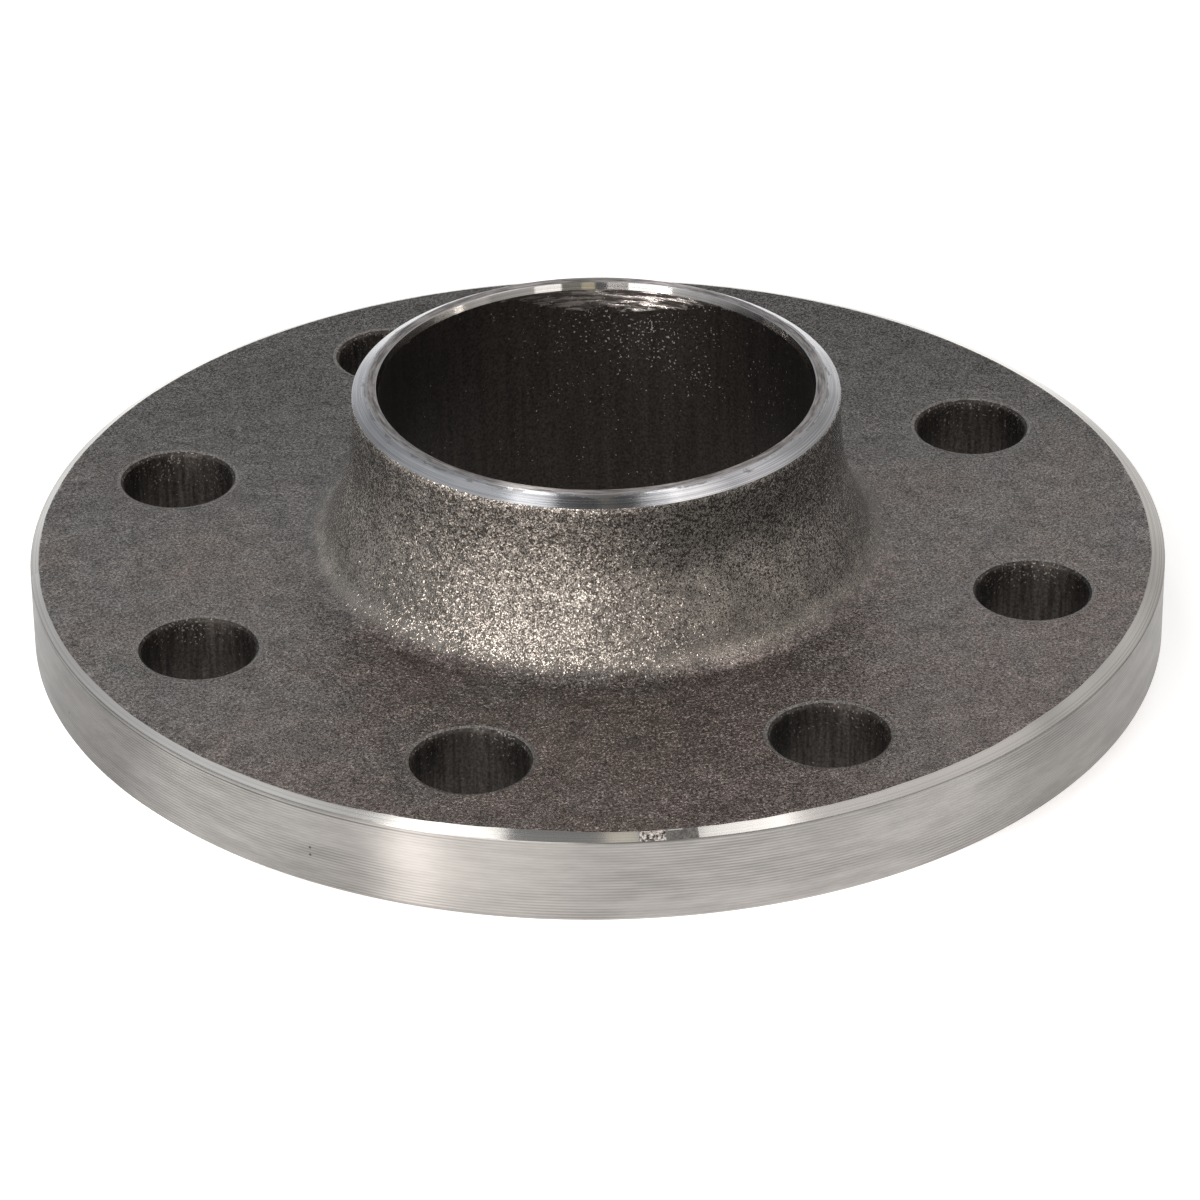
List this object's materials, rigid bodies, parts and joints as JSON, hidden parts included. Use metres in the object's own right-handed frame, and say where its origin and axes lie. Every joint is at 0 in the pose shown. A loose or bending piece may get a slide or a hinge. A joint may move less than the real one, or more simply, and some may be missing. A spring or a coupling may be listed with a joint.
{
  "type": "weld neck flange",
  "caption": "Weld neck pipe flange: a turned ring with a raised gasket face, a circle of plain bolt holes and a flared hub that rises to a bevelled weld end.",
  "frame": {"origin": "centre of the raised gasket face, on the bore's axis", "axes": "+Z along the bore, from the gasket face towards the weld end; the bolt holes straddle X and Y"},
  "size_m": [0.185, 0.185, 0.046],
  "materials": {
    "forged_steel": "shot-blasted forged steel on the hub and back face, bright turned rim, chamfer and weld end"
  },
  "bodies": {
    "root": {"flange": "forged_steel"}
  },
  "joints": []
}
